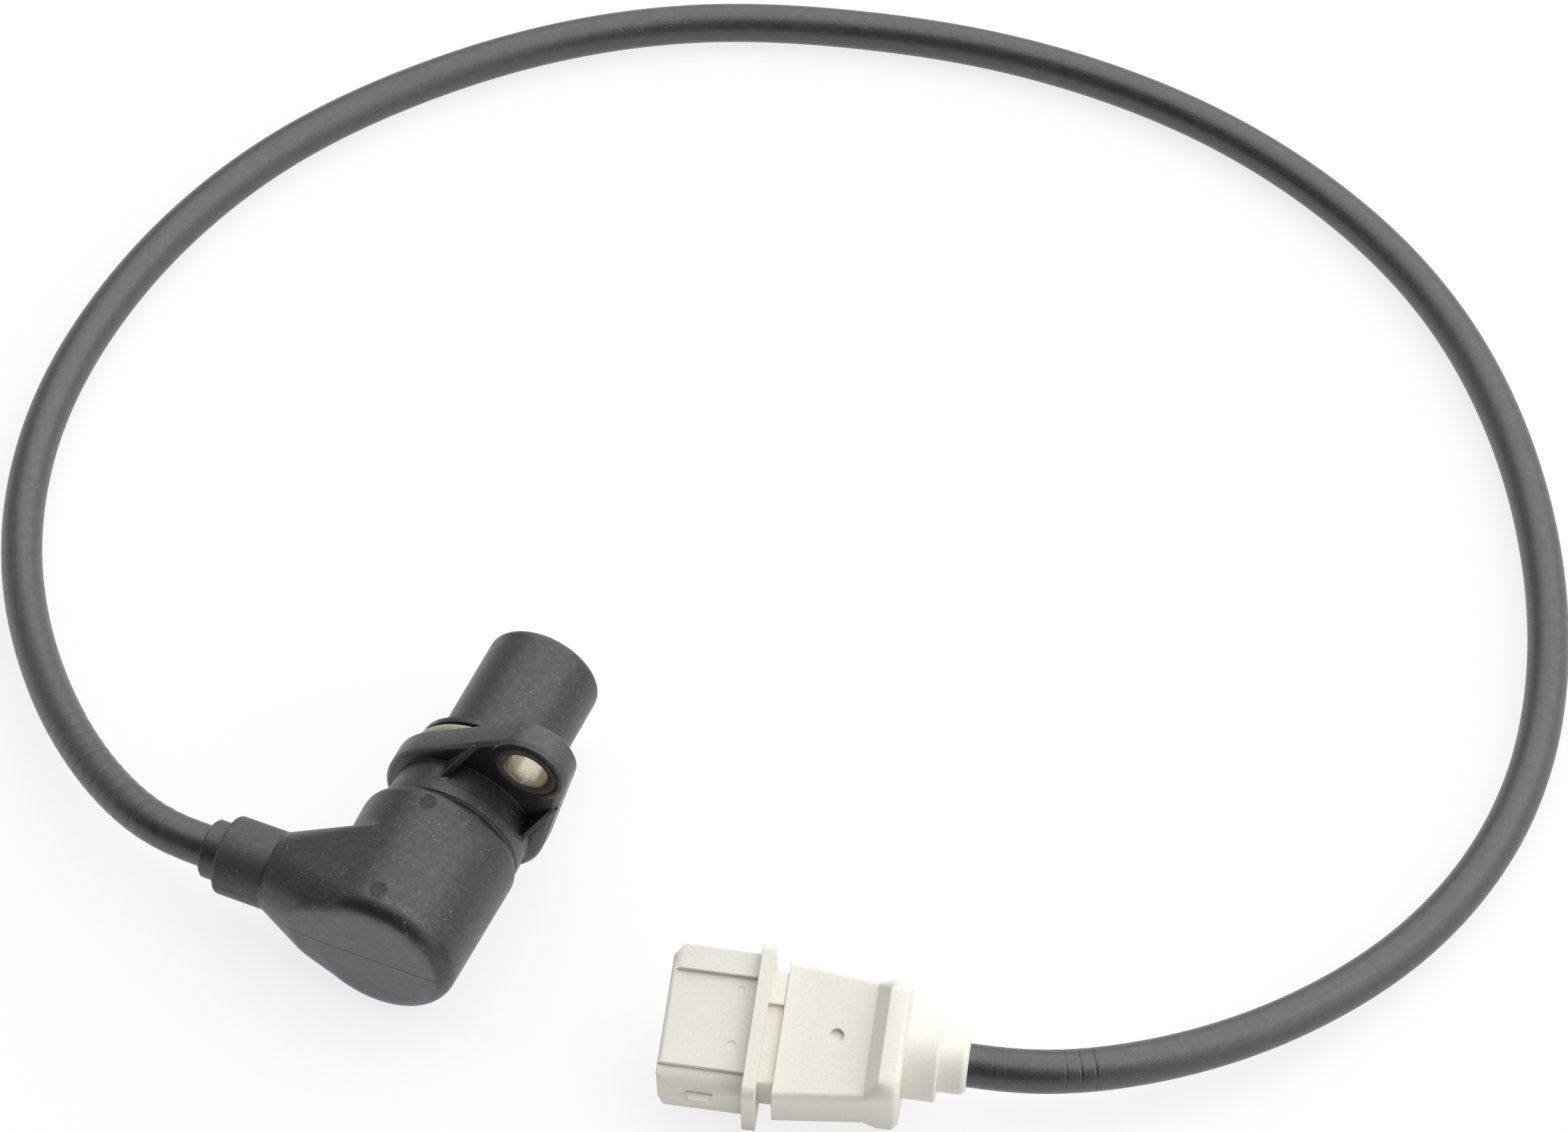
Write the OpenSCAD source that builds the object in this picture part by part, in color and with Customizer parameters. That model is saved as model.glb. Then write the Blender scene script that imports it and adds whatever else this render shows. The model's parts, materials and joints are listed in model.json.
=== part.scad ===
// Crankshaft position sensor with its lead and three-way plug.
// Millimetres. The nose points along +Y, the lead leaves along -X, +Z is up, and it lies on z = 0.

/* [Nose] */
// Diameter of the plain nose
nose_d = 18; // [17:0.1:19]
// Distance from the flange's front face to the tip
nose_reach = 24.7; // [23:0.1:27]
// Rounding of the tip's edge
tip_round = 1.2; // [0.6:0.1:1.5]
// Thickness of the nose's end wall
tip_wall = 1.5; // [1.2:0.1:1.8]
// Diameter of the land in front of the sealing ring
land_d = 22.2; // [21.6:0.1:22.6]
// Width of that land
land_w = 1.1; // [0.8:0.1:1.6]
// Width of the sealing ring's groove
groove_w = 3.2; // [2.9:0.1:3.4]

/* [Flange] */
// Diameter of the flange's round part
flange_d = 25.8; // [25:0.1:27]
// Thickness of the flange
flange_t = 4.5; // [4:0.1:5.5]
// Radius of the ear's end
ear_r = 6.2; // [6:0.1:6.8]
// Distance from the nose's axis to the sleeve's axis
ear_pitch = 18.8; // [18:0.1:20]
// Lean of the ear from upright, away from the lead
ear_lean = 35.5; // [20:0.5:45]
// Chamfer of the flange's edges
flange_edge = 0.6; // [0.3:0.1:0.8]
// Bore of the metal sleeve
sleeve_id = 6.7; // [6.4:0.1:6.9]
// Wall of the metal sleeve
sleeve_wall = 1.35; // [1:0.05:1.5]
// Height of the boss round the sleeve's back end
boss_h = 0.3; // [0.2:0.1:0.6]
// Offset of each stiffening rib from the ear's middle line
rib_offset = 7.5; // [6.8:0.1:7.6]
// Thickness of a stiffening rib
rib_t = 0.8; // [0.7:0.1:1.2]
// Length of a rib along the neck
rib_rise = 3; // [2.5:0.1:3.6]

/* [Neck and elbow] */
// Diameter of the neck behind the flange
neck_d = 22.3; // [21.6:0.1:22.4]
// Length of the neck that shows
neck_len = 5.8; // [5.4:0.1:7]
// Width of the faint band at the neck's back end
band_w = 2; // [1.4:0.1:2.2]
// Height of that band
band_h = 0.2; // [0.1:0.05:0.25]
// Diameter of the elbow's drum at its front
drum_d = 24.9; // [24.4:0.1:25.2]
// Diameter of the drum at its back
drum_back_d = 24.2; // [23.8:0.1:24.8]
// Offset of the drum from the nose's axis, towards the lead
drum_shift = 0.6; // [0.2:0.1:0.8]
// Length of the drum
drum_len = 24.2; // [23:0.1:26]
// Rounding of the drum's front shoulder
shoulder_round = 2; // [1.2:0.1:2.4]
// Rounding of the drum's back edge
drum_round = 3.2; // [2.8:0.1:3.8]
// Distance from the drum's back face to the lead's axis
outlet_back = 8.95; // [8.4:0.05:9.7]
// Reach of the wing from the nose's axis to the collar
wing_reach = 20.5; // [19:0.1:22]
// Distance the wing's root runs ahead of the lead's axis
wing_root = 7.6; // [6.8:0.1:8.4]
// Radius of the wing's end
wing_r = 6.3; // [6.2:0.1:6.8]
// Diameter of the collar
collar_d = 12.1; // [11.6:0.1:12.3]
// Length of the collar
collar_len = 7.9; // [7:0.1:9]
// Diameter of the grommet that comes out of the collar
grommet_d = 9; // [8.6:0.1:9.4]
// Length of grommet that shows
grommet_out = 3; // [2:0.1:4]

/* [Coil unit] */
// Diameter of the soft-iron pole pin
pin_d = 5; // [4.5:0.1:5.4]
// Length of the pole pin
pin_len = 17.5; // [17:0.1:18]
// Diameter of the magnet
magnet_d = 8.8; // [8.4:0.1:9]
// Length of the magnet
magnet_len = 6; // [5.5:0.1:6.4]
// Bore of the nose round the coil
coil_bore_d = 14.8; // [14.6:0.1:15.2]
// Outer diameter of the winding
winding_d = 13.4; // [12.8:0.1:13.8]
// Room between the bobbin's rims and the nose's bore
bobbin_gap = 0.1; // [0.05:0.01:0.15]
// Wall of the bobbin's magnet cup and hub
bobbin_wall = 1; // [0.9:0.05:1.1]
// Width of a terminal strip
strip_w = 2.4; // [2:0.1:2.8]
// Thickness of a terminal strip
strip_t = 0.6; // [0.4:0.05:0.7]

/* [Lead] */
// Diameter of the lead's jacket
lead_d = 6.4; // [6:0.1:6.8]
// Diameter of a core in the lead
core_d = 1.6; // [1.3:0.1:1.7]
// Number of flat sides of the jacket
lead_sides = 12; // [8:1:12]
// Number of rings for each stretch of the route
lead_steps = 3; // [2:1:3]

/* [Plug] */
// Width of the shell
shell_w = 20.8; // [20.4:0.1:21.4]
// Thickness of the shell
shell_t = 13; // [12.6:0.1:13.6]
// Length of the shell in front of its flange
shell_len = 12.7; // [12:0.1:14]
// Step between the shell's upper strips
shell_step = 0.75; // [0.5:0.05:0.9]
// Width of the raised strip along the shell's far edge
far_strip = 3.7; // [3:0.1:4.4]
// Width of the low strip along the shell's near edge
near_strip = 2.7; // [2.5:0.1:3.2]
// Chamfer round the mouth
mouth_chamfer = 1.4; // [1:0.1:1.6]
// Width of the cavity
cavity_w = 17.4; // [17:0.1:17.6]
// Height of the cavity
cavity_t = 9.4; // [9:0.1:9.6]
// Distance from the mouth to the blades' tips
blade_recess = 6.6; // [6.4:0.1:7.4]
// Distance between blades
blade_pitch = 5; // [4.8:0.1:5.2]
// Width of a blade
blade_w = 2.8; // [2.6:0.1:3]
// Thickness of a blade
blade_t = 0.8; // [0.6:0.05:0.9]
// Width of the plug's flange
plug_flange_w = 23.8; // [23:0.1:24.4]
// Height of the plug's flange
plug_flange_t = 16; // [15.4:0.1:16.6]
// Thickness of the plug's flange
plug_flange_len = 1.9; // [1.7:0.1:2.2]
// Width of the waist behind that flange
waist_w = 17.1; // [16.6:0.1:17.6]
// Height of the waist
waist_t = 8.8; // [8.4:0.1:9.2]
// Length of the waist
waist_len = 2.3; // [2:0.1:2.8]
// Width of the raised strip along the waist's far edge
waist_strip = 5; // [4:0.1:6]
// Width of the boot at its front
boot_w = 21.4; // [20.6:0.1:22]
// Width of the boot at its back, and of the end rib
boot_end_w = 18.4; // [17.8:0.1:18.8]
// Height of the boot
boot_t = 10.6; // [10:0.1:11.2]
// Length of the boot
boot_len = 13.1; // [12.6:0.1:14]
// Height of the end rib
end_rib_t = 16.6; // [16:0.1:16.8]
// Length of the slope up to the end rib
end_slope = 1.9; // [1.5:0.1:2.2]
// Length of the end rib
end_rib_len = 3.1; // [2.6:0.1:3.4]
// Diameter of the first round neck
tail_d = 12; // [11.4:0.1:12.6]
// Length of the first round neck
tail_len = 5; // [4.6:0.1:6]
// Diameter of the second round neck
tip_d = 8.8; // [8.4:0.1:9.4]
// Length of the second round neck
tip_len = 4.2; // [3.6:0.1:5]

/* [Plug position] */
// Mouth of the plug, along X
plug_x = 50; // [46:0.1:54]
// Mouth of the plug, along Y
plug_y = -21.9; // [-26:0.1:-18]
// Turn of the plug about Z
plug_yaw = 15.4; // [10:0.1:20]
// Roll of the plug onto its near edge
plug_roll = 15; // [12:0.5:18]
// Dip of the plug towards the lead
plug_dip = 1.7; // [1.5:0.05:1.8]

/* [Hidden] */
$fn = 72;

// Stations along the nose, measured back from the tip
land_front = nose_reach - groove_w - land_w;
land_back = nose_reach - groove_w;
flange_back = nose_reach + flange_t;
sleeve_back = flange_back + boss_h;
elbow_front = flange_back + neck_len;
neck_lap = 3;
shell_back = elbow_front + neck_lap;
elbow_back = elbow_front + drum_len;
outlet_at = elbow_back - outlet_back;

// Sealing ring, which sits on the groove's floor with a little room to each side face
ring_side_gap = 0.3;
ring_section = groove_w - 2 * ring_side_gap;

// Ear and sleeve
ear_x = ear_pitch * sin(ear_lean);
ear_z = ear_pitch * cos(ear_lean);
sleeve_od = sleeve_id + 2 * sleeve_wall;
sleeve_chamfer = 0.3;
rib_lean = (flange_d / 2 - ear_r) / ear_pitch;
rib_reach = (flange_d / 2 - (rib_offset + rib_t / 2 + 0.1) * sqrt(1 - rib_lean * rib_lean)) / rib_lean;

// Coil unit
rim_t = 1.3;
back_rim_t = 2;
rim_d = coil_bore_d - 2 * bobbin_gap;
hub_d = pin_d + 2 * bobbin_wall;
cup_d = magnet_d + 2 * bobbin_wall;
cup_back = pin_len + magnet_len;
strip_front = pin_len - 1.5;
strip_back = outlet_at + 1.75;

// Lead's way out of the elbow, measured from the nose's axis towards -X
jacket_in = 17;
grommet_in = 22.4;
wing_flat = 6;
knee_r = 8.8;
knee_out = 7.8;
knee_inset = 0.25;
root_inset = 0.05;
collar_lap = 3;
collar_end = wing_reach + collar_len;
grommet_end = collar_end + grommet_out;
core_spread = 1.5;
core_room = 0.05;
channel_d = core_d + 2 * core_room;
core_seat = cup_d / 2 - core_d / 2;

// Place of the nose's axis, so that the sensor stands over the origin
sensor_right = max(ear_x + ear_r, flange_d / 2);
axis_x = (grommet_end - sensor_right) / 2;
tip_y = elbow_back / 2;
axis_z = flange_d / 2;

// Stations along the plug, measured from its mouth
shell_corner = 2.4;
boot_corner = 1;
flange_corner = 1.5;
rib_corner = 2.5;
dimple_back = 8.1;
dimple_r = 1;
dimple_depth = 0.7;
waist_at = shell_len + plug_flange_len;
boot_at = waist_at + waist_len;
slope_at = boot_at + boot_len;
rib_at = slope_at + end_slope;
tail_at = rib_at + end_rib_len;
tip_at = tail_at + tail_len;
plug_end = tip_at + tip_len;
cavity_floor = 1;
tongue_len = 3;
blade_root = 5;
jacket_grip = 12.5;
cavity_depth = waist_at - cavity_floor;
spigot_end = boot_at + tongue_len;
blade_back = boot_at + blade_root;
plug_jacket_in = plug_end - jacket_grip;
tongue_w = waist_w - 3;
tongue_t = waist_t - 2;

// Locking wedge on the plug's near side, and the shallow round marks of the mould's ejector pins
wedge_at = 6.4;
wedge_w = 4.6;
wedge_lip = 2.6;
wedge_out = 1.5;
wedge_shelf = 2.3;
wedge_drop = 4.7;
mark_depth = 0.06;
shell_marks = [[10.4, 4.8], [10.2, -3.7]];
drum_marks = [[-1, 3.2], [-0.7, 20.2]];
drum_mark_r = 1.35;

// The plug rests on the near lower edges of its flange and its end rib
floor_gap = 0.02;
flange_sink = (plug_flange_t / 2 - flange_corner) * cos(plug_roll)
            + (plug_flange_w / 2 - flange_corner) * sin(plug_roll) + flange_corner;
plug_z = flange_sink + waist_at * sin(plug_dip) + floor_gap;

// Route of the lead: middle points of a smooth curve over the floor
lead_rise = lead_d / 2 + 0.05;
lead_route = [
    [-58, -6, 8], [-80, 20, lead_rise + 0.25], [-91, 48, lead_rise], [-93, 74, lead_rise],
    [-90, 98, lead_rise], [-82, 121, lead_rise], [-68, 142, lead_rise], [-51, 160, lead_rise],
    [-30, 174, lead_rise], [-6, 182, lead_rise], [18, 187, lead_rise], [44, 187, lead_rise],
    [68, 182, lead_rise], [92, 171, lead_rise], [111, 156, lead_rise], [127, 136, lead_rise],
    [139, 114, lead_rise], [147, 91, lead_rise], [150, 66, lead_rise], [144, 38, lead_rise + 0.25],
    [127, 11, 6]];
sensor_straight = 12;
plug_straight = 14;

// Direction of the plug's length, from its mouth to the lead
plug_dir = [cos(plug_dip) * cos(plug_yaw), cos(plug_dip) * sin(plug_yaw), -sin(plug_dip)];
plug_mouth = [plug_x, plug_y, plug_z];
lead_start = [axis_x - grommet_end, tip_y - outlet_at, axis_z];
lead_finish = plug_mouth + plug_end * plug_dir;
lead_points = concat(
    [for (k = [-1 : 1]) lead_start - [k * sensor_straight, 0, 0]],
    lead_route,
    [for (k = [1 : -1 : -1]) lead_finish + k * plug_straight * plug_dir]);

// Point on a uniform cubic spline, t in stretches
function curve_at(c, t) =
    let (k = min(floor(t), len(c) - 4), w = t - k)
    (pow(1 - w, 3) * c[k] + (3 * pow(w, 3) - 6 * w * w + 4) * c[k + 1]
     + (3 * w + 3 * w * w - 3 * pow(w, 3) + 1) * c[k + 2] + pow(w, 3) * c[k + 3]) / 6;

// Ring of points of radius r round p, square to the direction d
function ring_at(p, d, r, sides) =
    let (t = d / norm(d), a = cross([0, 0, 1], t), s = a / norm(a), u = cross(t, s))
    [for (i = [0 : sides - 1]) p + r * (cos(360 * i / sides) * s + sin(360 * i / sides) * u)];

// Radius of the drum at a distance behind its front
function drum_radius(at) = (drum_d + (drum_back_d - drum_d) * at / drum_len) / 2;

// Quarter arc about c, from the angle a0 to a1
function arc(c, r, a0, a1, n = 6) =
    [for (i = [0 : n]) let (a = a0 + (a1 - a0) * i / n) c + r * [cos(a), sin(a)]];

// Places children on the nose's axis, with the tip at y = 0
module on_axis() {
    translate([axis_x, tip_y, axis_z]) children();
}

// Places children on the plug: x from the mouth to the lead, y to the far side, z up
module on_plug() {
    translate(plug_mouth) rotate([plug_roll, plug_dip, plug_yaw]) children();
}

// Body turned about the nose's axis from a profile of [radius, distance back from the tip]
module turned(profile) {
    rotate([90, 0, 0]) rotate_extrude() polygon(profile);
}

// Plain cylinder along the nose's axis between two distances back from the tip
module drum(d, front, back) {
    translate([0, -front, 0]) rotate([90, 0, 0]) cylinder(d = d, h = back - front);
}

// Body turned about the lead's axis from a profile of [radius, distance out from the nose's axis]
module turned_outlet(profile) {
    translate([0, -outlet_at, 0]) rotate([0, -90, 0]) rotate_extrude() polygon(profile);
}

// Plain cylinder along the lead's axis between two distances out from the nose's axis
module outlet_drum(d, from, to) {
    translate([-from, -outlet_at, 0]) rotate([0, -90, 0]) cylinder(d = d, h = to - from);
}

// Tube of diameter d through a list of points, square to the heading given for each
module tube(path, heading, d, sides) {
    n = len(path);
    rings = [for (i = [0 : n - 1]) each ring_at(path[i], heading[i], d / 2, sides)];
    skin = [for (i = [0 : n - 2], j = [0 : sides - 1])
        let (a = i * sides + j, b = i * sides + (j + 1) % sides)
        each [[a, a + sides, b], [b, a + sides, b + sides]]];
    first_cap = [for (j = [0 : sides - 1]) j];
    last_cap = [for (j = [sides - 1 : -1 : 0]) (n - 1) * sides + j];
    polyhedron(points = rings, faces = concat([first_cap, last_cap], skin));
}

// Core along x with an easy bend from a to b; it starts straight, head before a, and ends tail past b
module core(a, b, head, tail, d) {
    bend = [for (i = [0 : 6]) let (t = i / 6, e = t * t * (3 - 2 * t))
        [a[0] + (b[0] - a[0]) * t, a[1] + (b[1] - a[1]) * e, a[2] + (b[2] - a[2]) * e]];
    path = concat([a - [head, 0, 0]], bend, [b + [tail, 0, 0]]);
    heading = [for (i = [0 : 8]) i < 2 || i > 6 ? [1, 0, 0] : path[i + 1] - path[i - 1]];
    tube(path, heading, d, 8);
}

// Rectangle with round corners, about its middle
module round_rect(w, t, r) {
    square([w - 2 * r, t], center = true);
    square([w, t - 2 * r], center = true);
    for (x = [-1, 1], y = [-1, 1]) translate([x * (w / 2 - r), y * (t / 2 - r)]) circle(r = r, $fn = 32);
}

// Draws a flat section across the plug and runs it from one station to another
module plug_run(from, to) {
    translate([from, 0, 0]) rotate([90, 0, 90]) linear_extrude(to - from) children();
}

// Disc of the flange's thickness with chamfered edges
module flange_disc(r) {
    c = flange_edge;
    turned([[0, nose_reach], [r - c, nose_reach], [r, nose_reach + c], [r, flange_back - c],
            [r - c, flange_back], [0, flange_back]]);
}

// Stiffening rib between the ear and the neck, on one side of the ear's middle line
module ear_rib(side) {
    foot = neck_d / 2 - 4;
    rotate([0, ear_lean, 0]) translate([side * rib_offset - rib_t / 2, 0, 0]) rotate([90, 0, 90])
        linear_extrude(rib_t)
            polygon([[-flange_back + 0.5, foot], [-flange_back + 0.5, rib_reach],
                     [-flange_back, rib_reach], [-flange_back - rib_rise, neck_d / 2 - 2.9],
                     [-flange_back - rib_rise, foot]]);
}

// Moulded front half: nose, land, flange with its ear, ribs and neck
module nose_shell() {
    nose_r = nose_d / 2;
    neck_r = neck_d / 2;
    mid_flange = nose_reach + flange_t / 2;
    band_front = elbow_front - band_w;
    color([0.13, 0.13, 0.14]) on_axis() difference() {
        union() {
            turned(concat(
                [[0, 0]], arc([nose_r - tip_round, tip_round], tip_round, -90, 0),
                [[nose_r, land_front], [land_d / 2 - 0.2, land_front], [land_d / 2, land_front + 0.2],
                 [land_d / 2, land_back], [nose_r, land_back], [nose_r, mid_flange],
                 [neck_r, mid_flange], [neck_r, band_front], [neck_r + band_h, band_front],
                 [neck_r + band_h, elbow_front], [neck_r, elbow_front], [neck_r, shell_back],
                 [0, shell_back]]));
            hull() {
                flange_disc(flange_d / 2, $fn = 64);
                translate([ear_x, 0, ear_z]) flange_disc(ear_r, $fn = 48);
            }
            translate([ear_x, 0, ear_z]) drum(2 * ear_r - 0.6, nose_reach + 1, sleeve_back);
            for (side = [-1, 1]) ear_rib(side);
        }
        drum(pin_d, -1, tip_wall + 1);
        drum(coil_bore_d, tip_wall, shell_back + 1);
        translate([ear_x, 0, ear_z]) drum(sleeve_od, nose_reach - 1, sleeve_back + 1);
    }
}

// Metal sleeve that takes the bolt's clamping load
module mounting_sleeve() {
    ri = sleeve_id / 2;
    ro = sleeve_od / 2;
    c = sleeve_chamfer;
    color([0.78, 0.74, 0.64]) on_axis() translate([ear_x, 0, ear_z])
        turned([[ri + c, nose_reach], [ro, nose_reach], [ro, sleeve_back], [ri + c, sleeve_back],
                [ri, sleeve_back - c], [ri, nose_reach + c]]);
}

// Green rubber ring that seals the nose in its hole
module sealing_ring() {
    color([0.66, 0.74, 0.58]) on_axis() translate([0, -land_back - groove_w / 2, 0]) rotate([90, 0, 0])
        rotate_extrude() translate([nose_d / 2 + ring_section / 2, 0]) circle(d = ring_section, $fn = 40);
}

// Soft-iron pin that carries the field to the tip
module pole_pin() {
    c = 0.3;
    color([0.55, 0.56, 0.58]) on_axis()
        turned([[0, 0], [pin_d / 2, 0], [pin_d / 2, pin_len - c], [pin_d / 2 - c, pin_len], [0, pin_len]]);
}

// Flat terminal strip beside the magnet; side is 1 above and -1 below
module terminal_strip(side) {
    low = side > 0 ? cup_d / 2 : -cup_d / 2 - strip_t;
    translate([-strip_w / 2, -strip_back, low]) cube([strip_w, strip_back - strip_front, strip_t]);
}

module terminal_upper() {
    color([0.8, 0.78, 0.7]) on_axis() terminal_strip(1);
}

module terminal_lower() {
    color([0.8, 0.78, 0.7]) on_axis() terminal_strip(-1);
}

// Moulded bobbin: two rims, the hub for the winding and the cup for the magnet
module coil_bobbin() {
    rim_r = rim_d / 2;
    color([0.3, 0.3, 0.32]) on_axis() difference() {
        turned([[pin_d / 2, tip_wall], [rim_r, tip_wall], [rim_r, tip_wall + rim_t],
                [hub_d / 2, tip_wall + rim_t], [hub_d / 2, pin_len - back_rim_t],
                [rim_r, pin_len - back_rim_t], [rim_r, pin_len], [cup_d / 2, pin_len],
                [cup_d / 2, cup_back], [magnet_d / 2, cup_back], [magnet_d / 2, pin_len],
                [pin_d / 2, pin_len]]);
        for (side = [-1, 1]) terminal_strip(side);
    }
}

// Enamelled copper winding between the bobbin's rims
module coil_winding() {
    color([0.72, 0.38, 0.2]) on_axis() difference() {
        drum(winding_d, tip_wall + rim_t, pin_len - back_rim_t);
        drum(hub_d, tip_wall, pin_len);
    }
}

// Round permanent magnet behind the pole pin
module magnet() {
    color([0.4, 0.4, 0.42]) on_axis() drum(magnet_d, pin_len, cup_back);
}

// Core of the lead from the jacket's end to one terminal strip
module core_run(side, d = core_d) {
    core([1 - jacket_in, -outlet_at, side * core_spread], [-4, -outlet_at, side * core_seat],
         1, strip_w / 2 + 4, d);
}

module core_upper() {
    color([0.85, 0.85, 0.82]) on_axis() core_run(1);
}

module core_lower() {
    color([0.35, 0.25, 0.18]) on_axis() core_run(-1);
}

// Moulded back half: drum, wing to the side, collar, and the spigot that closes the nose
module elbow_body() {
    front_r = drum_d / 2;
    back_r = drum_back_d / 2;
    wing_edge = 0.8;
    root_at = outlet_at - wing_root;
    root_r = drum_radius(root_at - elbow_front) - root_inset;
    back_edge = arc([back_r - drum_round, elbow_back - drum_round], drum_round, 0, 90, 8);
    root_back = arc([back_r - drum_round, elbow_back - drum_round], drum_round - root_inset, 0, 90, 8);
    color([0.12, 0.12, 0.13]) on_axis() difference() {
        union() {
            translate([-drum_shift, 0, 0]) turned(concat(
                [[0, elbow_front]],
                arc([front_r - shoulder_round, elbow_front + shoulder_round], shoulder_round, -90, 0, 6),
                back_edge, [[0, elbow_back]]));
            hull() {
                translate([-drum_shift, 0, 0]) turned(concat(
                    [[0, root_at], [root_r - wing_edge, root_at], [root_r, root_at + wing_edge]],
                    root_back, [[0, elbow_back - root_inset]]));
                translate([-knee_out, 0, 0]) turned(concat(
                    [[0, outlet_at], [knee_r, outlet_at]],
                    arc([knee_r - drum_round, elbow_back - knee_inset - drum_round], drum_round, 0, 90, 8),
                    [[0, elbow_back - knee_inset]]));
                turned_outlet(concat(
                    [[0, wing_reach - wing_flat], [wing_r, wing_reach - wing_flat]],
                    arc([wing_r - wing_edge, wing_reach - wing_edge], wing_edge, 0, 90, 4),
                    [[0, wing_reach]]), $fn = 48);
            }
            turned_outlet(concat(
                [[0, wing_reach - collar_lap], [collar_d / 2, wing_reach - collar_lap]],
                arc([collar_d / 2 - 0.6, collar_end - 0.6], 0.6, 0, 90, 4), [[0, collar_end]]));
            drum(coil_bore_d, pin_len, elbow_front + 1);
        }
        difference() {
            drum(neck_d, elbow_front - 1, shell_back);
            drum(coil_bore_d, elbow_front - 2, shell_back + 1);
        }
        drum(cup_d, pin_len - 1, cup_back);
        for (side = [-1, 1]) {
            terminal_strip(side);
            core_run(side, channel_d);
        }
        outlet_drum(lead_d, jacket_in, grommet_in + 1);
        outlet_drum(grommet_d, grommet_in, collar_end + 1);
        for (at = drum_marks) translate([at[0], -elbow_front - at[1], drum_radius(at[1]) - mark_depth])
            cylinder(r = drum_mark_r, h = 1, $fn = 32);
    }
}

// Soft sleeve round the lead where it leaves the collar
module lead_grommet() {
    r = grommet_d / 2;
    c = 0.4;
    color([0.1, 0.1, 0.11]) on_axis()
        turned_outlet([[lead_d / 2, grommet_in], [r, grommet_in], [r, grommet_end - c],
                       [r - c, grommet_end], [lead_d / 2, grommet_end]]);
}

// Jacket of the lead, one tube from inside the elbow to inside the plug's boot
module lead_jacket() {
    stretches = len(lead_points) - 3;
    last = stretches * lead_steps;
    middle = [for (i = [0 : last]) curve_at(lead_points, i / lead_steps)];
    inner_start = lead_start + [grommet_end - jacket_in, 0, 0];
    inner_finish = lead_finish + (plug_jacket_in - plug_end) * plug_dir;
    path = concat([inner_start], middle, [inner_finish]);
    n = len(path);
    heading = [for (i = [0 : n - 1])
        i < 2 ? [-1, 0, 0] : i > n - 3 ? -plug_dir : path[i + 1] - path[i - 1]];
    color([0.2, 0.2, 0.22]) tube(path, heading, lead_d, lead_sides);
}

// Flat male blade with a bevelled tip, k blades away from the middle one
module blade(k) {
    bevel = 0.7;
    w = blade_w / 2;
    translate([0, k * blade_pitch, -blade_t / 2]) linear_extrude(blade_t)
        polygon([[blade_recess, bevel - w], [blade_recess, w - bevel], [blade_recess + bevel, w],
                 [blade_back, w], [blade_back, -w], [blade_recess + bevel, -w]]);
}

module blade_left() {
    color([0.8, 0.78, 0.7]) on_plug() blade(-1);
}

module blade_middle() {
    color([0.8, 0.78, 0.7]) on_plug() blade(0);
}

module blade_right() {
    color([0.8, 0.78, 0.7]) on_plug() blade(1);
}

// Core of the lead from one blade's back end to the jacket's end
module plug_core_run(k, d = core_d) {
    seat = blade_t / 2 + core_d / 2;
    root = [blade_back + 0.5, k * blade_pitch, seat];
    bundle = [plug_jacket_in - 1, k * 1.35, k == 0 ? 1.3 : -0.8];
    core(root, bundle, 2.5, 1, d);
}

module plug_core_left() {
    color([0.35, 0.25, 0.18]) on_plug() plug_core_run(-1);
}

module plug_core_middle() {
    color([0.7, 0.7, 0.7]) on_plug() plug_core_run(0);
}

module plug_core_right() {
    color([0.85, 0.85, 0.82]) on_plug() plug_core_run(1);
}

// Outer section of the shell: its upper side steps down towards the near edge
module shell_section() {
    far = shell_w / 2;
    top = shell_t / 2;
    translate([0, -shell_step]) round_rect(shell_w, shell_t - 2 * shell_step, shell_corner);
    translate([near_strip - far, 0]) square([shell_w - near_strip - 0.5, top - shell_step]);
    translate([far - far_strip, 0]) square([far_strip, top]);
}

// Locking wedge on the shell's near side: a shelf above, sloping away below
module locking_wedge() {
    skin = 0.2;
    wall = -shell_w / 2 + 2 * skin;
    translate([wedge_at, wall, wedge_shelf]) hull() {
        translate([-wedge_w / 2, 0, -wedge_drop]) cube([wedge_w, skin, wedge_drop]);
        translate([-wedge_lip / 2, -wedge_out - skin, -2 * skin]) cube([wedge_lip, skin, 2 * skin]);
    }
}

// Pale grey front of the plug: open shell, flange, waist and the tongue inside the boot
module plug_shell() {
    c = mouth_chamfer;
    color([0.82, 0.8, 0.75]) on_plug() difference() {
        union() {
            intersection() {
                plug_run(0, shell_len + 0.5) shell_section();
                hull() {
                    plug_run(0, 0.1) square([shell_w - 2 * c, shell_t - 2 * c], center = true);
                    plug_run(c, shell_len + 1) square([shell_w, shell_t], center = true);
                }
            }
            plug_run(shell_len, waist_at) round_rect(plug_flange_w, plug_flange_t, flange_corner);
            plug_run(waist_at - 0.5, boot_at) {
                round_rect(waist_w, waist_t, 0.5);
                translate([waist_w / 2 - waist_strip, 0]) square([waist_strip, waist_t / 2 + shell_step]);
            }
            plug_run(boot_at - 0.5, spigot_end) round_rect(tongue_w, tongue_t, 0.5);
            locking_wedge();
        }
        plug_run(-1, cavity_depth) round_rect(cavity_w, cavity_t, 1);
        for (k = [-1 : 1]) blade(k);
        for (at = shell_marks) translate([at[0], at[1], shell_t / 2 - shell_step - mark_depth])
            cylinder(r = 0.55, h = 1, $fn = 24);
    }
}

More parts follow.
